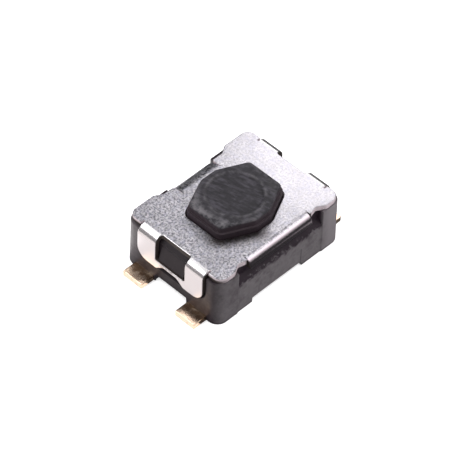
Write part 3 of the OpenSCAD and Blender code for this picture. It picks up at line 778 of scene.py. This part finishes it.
def wall_depth(s, m, x, y, z):
    """How far the outside of the base lies inside its plain outline, for points with the height
    z: the panels, marks, shelves and flange rooms of the long walls, the clip rooms and latches
    of the end walls, and the draft of the end walls."""
    e = m.edge
    on_long = np.abs(np.abs(y) - s.base_y) < 1e-6
    on_end = np.abs(np.abs(x) - s.base_x) < 1e-6
    panel_d = np.where(y > 0, m.rear_panel, m.panel_d)
    room = s.base_y - s.flange_in + s.gap - panel_d
    chamfer = np.where(y > 0, 0.7 * s.rear_r, s.bend_r)
    shelf = room * np.clip((z - m.shelf_z) / m.slope + 1, 0, 1) + np.maximum(z - s.seat_z + chamfer, 0)
    panel = panel_d * (1 - step(np.abs(x), s.base_x - m.post, e))
    mark = m.mark_d * (1 - step(np.abs(x), m.mark_x, e))
    mark = mark * (1 - step(z, m.mark_z, e)) * step(z, m.foot_h + e, 2 * e)
    room_x = np.where(y > 0, m.rear_room, s.base_x - m.post)
    long_wall = panel + mark + shelf * (1 - step(np.abs(x), room_x, e))
    r = s.clip_r + s.gap
    out_y = np.abs(y) - (s.half_w + s.gap - r)
    out_z = (s.clip_z - s.gap + r) - z
    corner = np.hypot(np.maximum(out_y, 0), np.maximum(out_z, 0))
    beyond = corner + np.minimum(np.maximum(out_y, out_z), 0) - r
    clip_room = s.base_x - s.leg_in + s.gap + np.maximum(z - s.fold_z, 0)
    head = s.latch_z + m.latch_h
    latch = np.interp(z, [s.latch_z, head], [m.latch_d, m.latch_top])
    latch = latch * step(z, s.latch_z, e) * (1 - step(z, head, e)) * (1 - step(np.abs(y), m.latch_y, e))
    end_wall = (1 - step(beyond, 0, e)) * (clip_room - latch)
    lean = m.draft * (z / s.seat_z - 0.5)
    corner_lean = lean * np.clip((np.abs(x) - s.base_x + m.corner_r) / m.corner_r, 0, 1)
    return np.where(on_long, long_wall, 0) + np.where(on_end, end_wall, 0) + corner_lean


def underside(s, m, x, y):
    """Height of the underside: a channel between the feet across, and an arch along."""
    across = m.foot_h * (1 - step(np.abs(x - m.foot_shift), m.foot_x, m.edge))
    along = m.arch_h * (1 - step(np.abs(y), m.arch_y, m.edge))
    return np.maximum(across, along)


def stops(low, high, spacing, marks, width):
    """Grid lines from low to high at a spacing, with close ones round each mark."""
    even = np.linspace(low, high, int(np.ceil((high - low) / spacing)) + 1)
    tight = np.ravel(np.asarray(marks)[:, None] + width * np.array([-1.0, -0.5, -0.25, 0.0, 0.25, 0.5, 1.0]))
    tight = tight[(tight > low) & (tight < high)]
    even = even[(np.abs(even[:, None] - tight).min(1) > width / 4) | (even == low) | (even == high)]
    return np.unique(np.round(np.concatenate([even, tight]), 6))


def moulded_base(s, m):
    """The outer wall is a grid: along it run the points of a rounded rectangle, and up it the
    heights. Each point lies wall_depth inside the outline, along the wall's normal."""
    surface = Surface()
    r, soft = m.corner_r, m.edge
    spacing_x, spacing_y, spacing_z = 0.06, 0.022, 0.03
    post, foot = s.base_x - m.post, m.foot_shift + np.array([-m.foot_x, m.foot_x])
    marks_x = [-post, post, -m.mark_x, m.mark_x, -m.rear_room, m.rear_room, *foot]
    marks_y = [-m.arch_y, -m.latch_y, m.arch_y, m.latch_y]
    lines_x = stops(-s.base_x + r, s.base_x - r, spacing_x, marks_x, soft)
    lines_y = stops(-s.base_y + r, s.base_y - r, spacing_y, marks_y, soft)
    bend = np.radians(np.linspace(0, 90, 13))[1:-1]
    near_turn = np.stack([np.sin(bend), -np.cos(bend)], 1)
    far_turn = np.stack([np.cos(bend), np.sin(bend)], 1)
    middle = np.array([s.base_x - r, s.base_y - r])
    front = np.stack([lines_x, np.full_like(lines_x, -s.base_y)], 1)
    right = np.stack([np.full_like(lines_y, s.base_x), lines_y], 1)
    half = np.vstack([front, middle * [1, -1] + r * near_turn, right, middle + r * far_turn])
    outline = np.vstack([half, -half])
    front_n, right_n = np.tile([0.0, -1.0], (len(front), 1)), np.tile([1.0, 0.0], (len(right), 1))
    half_n = np.vstack([front_n, near_turn, right_n, far_turn])
    normal = np.vstack([half_n, -half_n])
    x, y = outline.T
    under = underside(s, m, x, y)

    def ring(z, inward=0.0):
        z = np.broadcast_to(z, x.shape)
        out = outline - normal * (wall_depth(s, m, x, y, z) + inward)[:, None]
        return np.column_stack([out, z])

    # From the underside's edge up: a soft edge, the foot, the wall, and a soft edge to the seat.
    foot_top = m.arch_h + 0.08
    marks_z = [m.mark_z, m.shelf_z - m.slope, m.shelf_z, s.latch_z, s.latch_z + m.latch_h, s.fold_z]
    heights = stops(foot_top, s.seat_z - soft, spacing_z, marks_z, soft)
    turn = np.radians([30, 60, 90])
    rounds = np.stack([soft * (1 - np.cos(turn)), soft * (1 - np.sin(turn))], 1)
    rings = [ring(under, 2 * soft), ring(under, soft)]
    rings += [ring(under + rise, side) for rise, side in rounds]
    rings += [ring(under + soft + (foot_top - under - soft) * k) for k in (0.15, 0.5)]
    rings += [ring(z) for z in heights]
    rings += [ring(s.seat_z - side, rise) for rise, side in rounds]
    rings += [ring(s.seat_z, 2 * soft)]
    start = surface.skin(rings)
    grid = lattice((lines_x, lines_y))
    surface.fill([(start[0], len(x))], np.column_stack([grid, underside(s, m, *grid.T)]), 0.02)
    # The pocket: the button's outline, grown, down to the ledge, then a round hole to the floor.
    mouth = inset(button_outline(s), -s.grow)
    hole = s.hole_r * unit(mouth)
    levels = [(mouth, s.seat_z), (mouth, s.seat_z - soft), (mouth, s.ledge_z + soft), (mouth, s.ledge_z)]
    levels += [(inset(mouth, soft), s.ledge_z), (hole * (1 + soft), s.ledge_z), (hole, s.ledge_z)]
    levels += [(hole, s.ledge_z - soft), (hole, s.floor_z + soft), (hole, s.floor_z)]
    levels += [(hole * (1 - soft), s.floor_z)]
    pocket = surface.skin([at(loop, z) for loop, z in levels])
    surface.fill([(start[-1], len(x)), (pocket[0], len(mouth))])
    surface.pole(pocket[-1], len(mouth), (0, 0, s.floor_z))
    return surface


def fold_length(s, bend_r):
    """Length of a fold along the middle of the sheet: a quarter turn at the middle radius."""
    return np.pi / 2 * (bend_r + s.sheet_t / 2)


def cover_outlines(s, c):
    """The flat blank of the cover: one quarter's corners go round from the end clip to the side
    flange, and are mirrored. Lengths past a fold are measured along the middle of the sheet."""
    fold_x = s.leg_in - s.bend_r
    clip_end = fold_x + fold_length(s, s.bend_r) + s.seat_z - s.bend_r - s.clip_z
    arch_top_r, arch_r, slot_r, tab_r, flange_r = 0.06, 0.05, 0.012, 0.035, 0.04

    def quarter(tab, flange, ear, bend_r):
        fold_y = s.flange_in - bend_r
        flange_end = fold_y + fold_length(s, bend_r) + s.seat_z - bend_r - (s.cover_z - c.flange_h)
        slot_x, slot_y = fold_x - c.relief_l, s.half_w + c.relief_w
        tab_x, edge_y = c.plate_x - tab, c.plate_y - c.tab_step
        ear_x = flange + c.ear_slot
        return [
            (clip_end - c.arch_h, c.arch_top, arch_top_r),
            (clip_end, c.arch, arch_r),
            (clip_end, s.half_w, s.clip_r),
            (slot_x, s.half_w, slot_r),
            (slot_x, slot_y, slot_r),
            (c.plate_x, slot_y, tab_r),
            (c.plate_x, c.plate_y, c.tab_r),
            (tab_x, c.plate_y, c.flank_r),
            (tab_x - c.flank, edge_y, c.flank_r),
            (ear_x, edge_y + ear, tab_r),
            (ear_x, fold_y, 0.0),
            (flange, fold_y, 0.0),
            (flange, flange_end, flange_r),
        ]

    rear = np.array(quarter(c.rear_tab, c.rear_flange, 0.0, s.rear_r))
    front = np.array(quarter(c.front_tab, c.front_flange, c.ear, s.bend_r))
    left, right = rear * [-1, 1, 1], front * [1, -1, 1]
    corners = np.vstack([rear, left[::-1], front * [-1, -1, 1], right[::-1]])
    outer = rounded(corners[:, :2], corners[:, 2])
    bar_x = clip_end - s.bar_h
    window = rectangle(fold_x + c.window_lip, bar_x, -c.window, c.window, c.window_r)[::-1]
    opening = inset(button_outline(s), -(s.tier + s.slide))[::-1]
    return [outer, window, (window * [-1, 1])[::-1], opening]


def folded(s, c, points):
    """Folds the flat blank. Past a fold's start a point turns by angle a = distance / middle
    radius, up to a right angle, and then runs straight down: start + r sin a out, and r cos a
    over the fold's centre, where r is the outside radius less the depth in the sheet."""
    out = points.copy()
    flat_z = points[:, 2]
    out[:, 2] = s.cover_z + flat_z
    rear = points[:, 1] > 0
    flange = np.where(rear, c.rear_flange, c.front_flange)
    side_r = np.where(rear, s.rear_r, s.bend_r)
    folds = [(0, s.leg_in, s.half_w, s.bend_r), (1, s.flange_in, flange, side_r)]
    for axis, inner, half, bend_r in folds:
        middle = bend_r + s.sheet_t / 2
        past = np.abs(points[:, axis]) - inner + bend_r
        on = (past > 0) & (np.abs(points[:, 1 - axis]) < half + c.ear_slot / 2)
        a = np.clip(past / middle, 0, np.pi / 2)
        drop = np.maximum(past - middle * np.pi / 2, 0)
        r = bend_r + s.sheet_t + flat_z
        reach = np.sign(points[:, axis]) * (inner - bend_r + r * np.sin(a))
        out[:, axis] = np.where(on, reach, out[:, axis])
        out[:, 2] = np.where(on, s.seat_z - bend_r + r * np.cos(a) - drop, out[:, 2])
    return out


def steel_cover(s, c):
    """The cover as a flat blank with sheared edges and extra points along its folds, to be folded as a whole.
    """
    loops = cover_outlines(s, c)
    spots = []
    for side, flange, side_r in ((-1, c.front_flange, s.bend_r), (1, c.rear_flange, s.rear_r)):
        folds = [(0, s.leg_in, s.bend_r, s.half_w), (1, s.flange_in, side_r, flange)]
        for axis, inner, bend_r, half in folds:
            turns = side * (inner - bend_r + np.linspace(-0.01, fold_length(s, bend_r) + 0.01, 12))
            across = np.linspace(-half, half, 40)
            spots.append((turns, across) if axis == 0 else (across, turns))
            for turn in turns:
                loops = [cut_at(loop, axis, turn, half + c.ear_slot / 2) for loop in loops]
    surface = Surface()
    sheet(surface, [refined(loop, 0.05) for loop in loops], s.sheet_t, c.edge, lattice(*spots))
    return surface


def tiered_button(s, b):
    """A stack of closed rings from the plunger's foot to the middle of the top. Each ring is
    the eight-sided outline grown by an amount, or a circle through the same directions."""
    base = button_outline(s)
    shape = {"circle": lambda r: unit(base) * r, "grown": lambda out: inset(base, -out)}
    e, rim_r, ring_r = b.edge, b.rim_r, b.ring_r
    foot_z = s.dome_top + 0.02 + s.film_t
    lip_top = s.seat_z - 0.01
    lip_low = lip_top - b.lip_h
    tier_z, rim_z, dish_z = s.top_z - b.upper_h, s.top_z - b.fall, s.top_z - b.dish_d
    tier, lip = s.tier, s.tier + s.lip
    turn = np.radians([0, 22.5, 45, 67.5, 90])
    rounds = np.stack([1 - np.sin(turn), 1 - np.cos(turn)], 1)
    # The plunger, then the lip and the two tiers, then the ring and the dish of the top.
    stem = [(b.plunger_r * 0.5, foot_z), (b.plunger_r - 2 * e, foot_z)]
    stem += [(b.plunger_r - e * i, foot_z + e * j) for i, j in rounds]
    stem += [(b.plunger_r, lip_low - e), (b.plunger_r, lip_low), (b.plunger_r + e, lip_low)]
    body = [(lip - 2 * e, lip_low)]
    body += [(lip - e * i, lip_low + e * j) for i, j in rounds]
    body += [(lip - e * j, lip_top - e * i) for i, j in rounds]
    body += [(lip - 2 * e, lip_top), (tier + e, lip_top), (tier, lip_top), (tier, lip_top + e)]
    body += [(tier, tier_z - 2 * e)]
    body += [(tier - e * j, tier_z - e * i) for i, j in rounds]
    body += [(0.012, tier_z - 0.004), (0.002, tier_z - 0.002), (0.0, tier_z + 0.006)]
    body += [(0.0, rim_z - rim_r - e)]
    body += [(-rim_r * j, rim_z - rim_r * i) for i, j in rounds]
    body += [(-rim_r - e, rim_z), (-rim_r - 3 * e, rim_z + 0.001)]
    top = [(ring_r + 0.05, s.top_z - 0.3 * b.fall), (ring_r + 0.02, s.top_z), (ring_r, s.top_z)]
    slope = ring_r - 0.02 - b.dish_r
    top += [(b.dish_r + slope * (1 - k), s.top_z - b.dish_d * step(k, 0.5, 1)) for k in np.linspace(0, 1, 6)]
    top += [(b.dish_r * k, dish_z) for k in (0.9, 0.5)]
    stack = [("circle", stem), ("grown", body), ("circle", top)]
    surface = Surface()
    start = surface.skin([at(shape[kind](v), z) for kind, rings in stack for v, z in rings])
    surface.pole(start[0], len(base), (0, 0, foot_z))
    surface.pole(start[-1], len(base), (0, 0, dish_z))
    return surface


def cap_rings(radius, rise, z, share):
    """Rings of a round cap: at a share of the radius it lies R - sqrt(R^2 - r^2) below the top,
    where R = (rise^2 + radius^2) / (2 rise)."""
    big = (rise**2 + radius**2) / (2 * rise)
    return [(radius * k, z + rise - (big - np.sqrt(big**2 - (radius * k) ** 2))) for k in share]


def snap_dome(s, d):
    """Two round caps, one sheet apart, joined at the rim."""
    share = np.linspace(0.06, 1, 16)
    outer = cap_rings(s.dome_r, d.dome_rise, s.floor_z + d.dome_t, share)
    inner = cap_rings(s.dome_r - 0.004, d.dome_rise, s.floor_z, share)[::-1]
    surface = Surface()
    start = surface.skin([at(circle(r, 96), z) for r, z in outer + inner])
    surface.pole(start[0], 96, (0, 0, s.floor_z + d.dome_rise + d.dome_t))
    surface.pole(start[-1], 96, (0, 0, s.floor_z + d.dome_rise))
    return surface


def sealing_film(s, d):
    """A cap over the dome that runs out into a flat border on the ledge, one film thick."""
    border = inset(button_outline(s), -(s.grow - s.slide))
    way = unit(border)
    share = np.linspace(0.08, 1, 12)
    surface = Surface()
    faces = []
    for lift in (d.film_t, 0.0):
        cap = cap_rings(s.hole_r, d.film_rise, s.ledge_z + lift, share)
        faces.append([at(way * r, z) for r, z in cap] + [at(border, s.ledge_z + lift)])
    start = surface.skin(faces[0] + faces[1][::-1])
    surface.pole(start[0], len(way), (0, 0, s.ledge_z + d.film_rise + d.film_t))
    surface.pole(start[-1], len(way), (0, 0, s.ledge_z + d.film_rise))
    return surface


def strip_lift(t, points):
    """Lifts the inner part of a contact strip: from the terminal to the buried level along a
    half cosine wave, measured along X."""
    k = np.clip((t.bend_out - np.abs(points[:, 0])) / (t.bend_out - t.bend_in), 0, 1)
    out = points.copy()
    out[:, 2] += t.buried_z * (1 - np.cos(np.pi * k)) / 2
    return out


def contact_frame(s, t, outline, pads):
    """A stamped strip with two terminals, and raised contacts on its inner part."""
    bends = np.linspace(t.bend_in, t.bend_out, 10)
    width = np.linspace(-1.5, 1.5, 60)
    spots = lattice((bends, width), (-bends, width))
    surface = Surface()
    sheet(surface, [refined(outline, 0.04)], s.strip_t, t.edge, spots, z=s.strip_t)
    surface.points = strip_lift(t, surface.points)
    for pad, top in pads:
        sheet(surface, [pad], top - t.buried_z - 0.01, t.edge, z=top)
    return surface


def rear_outline(s, t):
    """The strip with a tongue to a round contact in the middle."""
    low, high = s.pitch / 2 - s.strip_w / 2, s.pitch / 2 + s.strip_w / 2
    neck = np.sqrt(t.centre_r**2 - t.tongue**2)
    first = np.arctan2(neck, -t.tongue)
    last = np.arctan2(neck, t.tongue) + 2 * np.pi
    a = np.linspace(first, last, 40)
    disc = t.centre_r * np.stack([np.cos(a), np.sin(a)], 1)
    ends = [(t.tip_x, low), (t.tip_x, high), (-t.tip_x, high), (-t.tip_x, low)]
    corners = np.vstack([[(-t.tongue, low)], disc, [(t.tongue, low)], ends])
    return rounded(corners, np.repeat([0, t.corner_r], [len(disc) + 2, 4]), 5)


def front_outline(s, t):
    """The strip with two arms to the contacts under the dome's rim."""
    far, near = -s.pitch / 2 - s.strip_w / 2, -s.pitch / 2 + s.strip_w / 2
    tip, arm, out = t.tip_x, t.arm_in, s.dome_r
    corners = [(-tip, far), (tip, far), (tip, near), (out, near), (out, t.pad), (arm, t.pad), (arm, near)]
    corners += [(-arm, near), (-arm, t.pad), (-out, t.pad), (-out, near), (-tip, near)]
    return rounded(corners, t.corner_r, 5)


# Operators


class SWITCH_OT_base(Operator):
    """Make the moulded base"""

    bl_idname = "switch.base"
    bl_label = "Moulded Base"

    def execute(self, context):
        scene = context.scene
        sizes, moulding = body_sizes(), in_mm(scene.switch_moulding)
        surface = moulded_base(sizes, moulding)
        piece = surface.piece("moulded_base", [black_moulding(scene.switch_looks, sizes, moulding)])
        set_on(piece, "housing", "moulding", "base")
        return {"FINISHED"}


class SWITCH_OT_cover(Operator):
    """Make the folded steel cover"""

    bl_idname = "switch.cover"
    bl_label = "Steel Cover"

    def execute(self, context):
        scene = context.scene
        sizes, c = body_sizes(), in_mm(scene.switch_cover)
        looks = scene.switch_looks
        finishes = satin_stainless(looks, sizes), sheared_stainless(looks, sizes)
        piece = steel_cover(sizes, c).piece("steel_cover", finishes, lambda p: folded(sizes, c, p))
        set_on(piece, "housing", "cover_steel", "cover")
        return {"FINISHED"}


class SWITCH_OT_button(Operator):
    """Make the two-tier push button"""

    bl_idname = "switch.button"
    bl_label = "Push Button"

    def execute(self, context):
        scene = context.scene
        sizes = body_sizes()
        spring = in_mm(scene.switch_spring)
        sizes.dome_top = sizes.floor_z + spring.dome_rise + spring.dome_t
        sizes.film_t = spring.film_t
        surface = tiered_button(sizes, in_mm(scene.switch_button))
        piece = surface.piece("push_button", [matte_button(scene.switch_looks, sizes)])
        set_on(piece, "actuator", "button_plastic", "button")
        return {"FINISHED"}


class SWITCH_OT_spring(Operator):
    """Make the snap dome and the film over it"""

    bl_idname = "switch.spring"
    bl_label = "Dome and Film"

    def execute(self, context):
        scene = context.scene
        sizes, spring = body_sizes(), in_mm(scene.switch_spring)
        dome = snap_dome(sizes, spring).piece("snap_dome", [spring_steel(scene.switch_looks)])
        set_on(dome, "housing", "dome_steel", "contact_dome")
        film = sealing_film(sizes, spring).piece("sealing_film", [amber_film(scene.switch_looks)])
        set_on(film, "housing", "film", "seal_film")
        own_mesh(dome)
        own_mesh(film)
        return {"FINISHED"}


class SWITCH_OT_contacts(Operator):
    """Make the two contact frames with their terminals"""

    bl_idname = "switch.contacts"
    bl_label = "Contact Frames"

    def execute(self, context):
        scene = context.scene
        sizes, t = body_sizes(), in_mm(scene.switch_contacts)
        gold = [gold_plating(scene.switch_looks)] * 2
        # A raised contact is a little smaller than the strip below it.
        less = 0.005
        disc = circle(t.centre_r - less, 64)
        rear = contact_frame(sizes, t, rear_outline(sizes, t), [(disc, t.centre_z)])
        set_on(rear.piece("rear_contact_frame", gold), "housing", "plated_contact", "centre_contact")
        inside, outside, half = t.arm_in + less, sizes.dome_r - less, t.pad - less
        pads = [rectangle(*ends, -half, half, t.corner_r) for ends in ((-outside, -inside), (inside, outside))]
        front = contact_frame(sizes, t, front_outline(sizes, t), [(p, sizes.floor_z) for p in pads])
        set_on(front.piece("front_contact_frame", gold), "housing", "plated_contact", "rim_contact")
        return {"FINISHED"}


class SWITCH_OT_stage(Operator):
    """Make the floor, the lights and the camera"""

    bl_idname = "switch.stage"
    bl_label = "Stage"

    def execute(self, context):
        scene = context.scene
        looks = scene.switch_looks
        floor = Surface()
        grid = [at(circle(r, 64), 0) for r in (2, 8, 40, 400)]
        floor.pole(floor.skin(grid)[0], 64, (0, 0, 0))
        paper = floor.piece("paper_floor", [white_floor(looks)])
        paper.visible_glossy = False
        lamps()
        camera(scene)
        world = bpy.data.worlds.new("soft room")
        world.use_nodes = True
        scene.world = world
        world.node_tree.nodes["Background"].inputs["Color"].default_value = (0.87, 0.865, 0.9, 1)
        world.node_tree.nodes["Background"].inputs["Strength"].default_value = 0.13
        scene.view_settings.view_transform = "Standard"
        return {"FINISHED"}


def lamps():
    """Soft boxes, cards and strips, and bounces off the floor, which show only in gloss. Each
    has a place, an aim, and a width and height, in millimetres, then the radiance of its lit
    face, where 1 shows as white, and its tint. A rectangle's power is pi times its radiance
    and its area."""
    boxes = [
        ("overhead softbox", (-30, -35, 110), (0, 0, 0), (130, 130), 0.8, (1, 1, 1)),
        ("far softbox", (8.0, 4.2, 8.0), (1, 0.3, 1.5), (5, 7), 2.5, (1, 0.985, 0.99)),
        ("right softbox", (45, -39, 66), (0, 0, 0), (60, 92), 2.4, (1, 0.985, 0.99)),
        ("rear card", (30, 51, 12), (0, 0, 0), (60, 20), 0.3, (1, 1, 1)),
        ("back strip", (-1.7, 5.9, 11), (-1.7, 1.5, 1.5), (15, 4.0), 1.85, (1, 1, 1)),
        ("left strip", (-7.6, 3.7, 7.9), (-2.1, 0, 1.5), (8, 4.4), 3.2, (1, 1, 1)),
        ("left card", (-40, 23, 12), (0, 0, 0), (60, 22), 0.25, (1, 0.92, 0.9)),
        ("left floor bounce", (-9.2, 2.2, 0.01), (-9.2, 2.2, 1), (13.7, 7.5), 1.2, (1, 0.925, 0.9)),
        ("rear floor bounce", (-0.6, 4.3, 0.01), (-0.6, 4.3, 1), (4.4, 5.1), 2.0, (1, 0.98, 0.98)),
        ("right floor bounce", (5.4, -4.6, 0.01), (5.4, -4.6, 1), (5.8, 4.8), 1.0, (1, 0.97, 0.99)),
    ]
    for name, place, aim, size, bright, tint in boxes:
        data = bpy.data.lights.new(name, "AREA")
        data.shape = "RECTANGLE"
        data.size, data.size_y = size[0] * MM, size[1] * MM
        data.energy = bright * np.pi * data.size * data.size_y
        data.color = tint
        lamp = bpy.data.objects.new(name, data)
        back = (Vector(place) - Vector(aim)) * MM
        turn = back.to_track_quat("Z", "Y").to_matrix().to_4x4()
        lamp.matrix_world = Matrix.Translation(Vector(place) * MM) @ turn
        lamp.visible_diffuse = "floor" not in name
        lamp.visible_camera = False
        bpy.context.scene.collection.objects.link(lamp)


def camera(scene):
    """The camera of the photograph: direction, roll, distance and framing."""
    azimuth, elevation, roll = np.radians([-47.0731, 47.2026, 2.3884])
    distance, across, up_by, lens = 74.2971, 0.09484, 0.11776, 238.53
    right = Vector((np.cos(azimuth), np.sin(azimuth), 0))
    level = np.cos(elevation)
    back = Vector((np.sin(azimuth) * level, -np.cos(azimuth) * level, np.sin(elevation)))
    up = back.cross(right)
    right, up = right * np.cos(roll) + up * np.sin(roll), up * np.cos(roll) - right * np.sin(roll)
    place = Vector((0, 0, 0.8)) - across * right - up_by * up + distance * back
    data = bpy.data.cameras.new("photo camera")
    data.lens, data.sensor_width = lens, 36
    data.clip_start, data.clip_end = 1 * MM, 2000 * MM
    made = bpy.data.objects.new("photo camera", data)
    turn = Matrix((right, up, back)).transposed().to_4x4()
    made.matrix_world = Matrix.Translation(place * MM) @ turn
    scene.collection.objects.link(made)
    scene.camera = made


class SWITCH_PT_panel(Panel):
    """Sizes, colours and pieces of the switch"""

    bl_label = "Push Button Switch"
    bl_idname = "SWITCH_PT_panel"
    bl_space_type = "VIEW_3D"
    bl_region_type = "UI"
    bl_category = "Switch"

    def draw(self, context):
        layout = self.layout
        for made in OPERATORS:
            layout.operator(made.bl_idname)
        for name, (label, group) in GROUPS.items():
            box = layout.box()
            box.label(text=label)
            settings = getattr(context.scene, name)
            for prop in group.__annotations__:
                box.prop(settings, prop)


GROUPS = {
    "switch_body": ("Shared Sizes", SwitchBody),
    "switch_moulding": ("Moulding", SwitchMoulding),
    "switch_cover": ("Cover", SwitchCover),
    "switch_button": ("Button", SwitchButton),
    "switch_spring": ("Dome and Film", SwitchSpring),
    "switch_contacts": ("Contacts", SwitchContacts),
    "switch_looks": ("Colours", SwitchLooks),
}
OPERATORS = (
    SWITCH_OT_stage,
    SWITCH_OT_base,
    SWITCH_OT_cover,
    SWITCH_OT_button,
    SWITCH_OT_spring,
    SWITCH_OT_contacts,
)


def register():
    for name, (_, group) in GROUPS.items():
        bpy.utils.register_class(group)
        setattr(bpy.types.Scene, name, PointerProperty(type=group))
    for made in (*OPERATORS, SWITCH_PT_panel):
        bpy.utils.register_class(made)


def unregister():
    for made in reversed((*OPERATORS, SWITCH_PT_panel)):
        bpy.utils.unregister_class(made)
    for name, (_, group) in reversed(GROUPS.items()):
        delattr(bpy.types.Scene, name)
        bpy.utils.unregister_class(group)


def main():
    """Registers the add-on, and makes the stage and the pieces."""
    register()
    for made in OPERATORS:
        area, action = made.bl_idname.split(".")
        getattr(getattr(bpy.ops, area), action)()


if __name__ == "__main__":
    main()
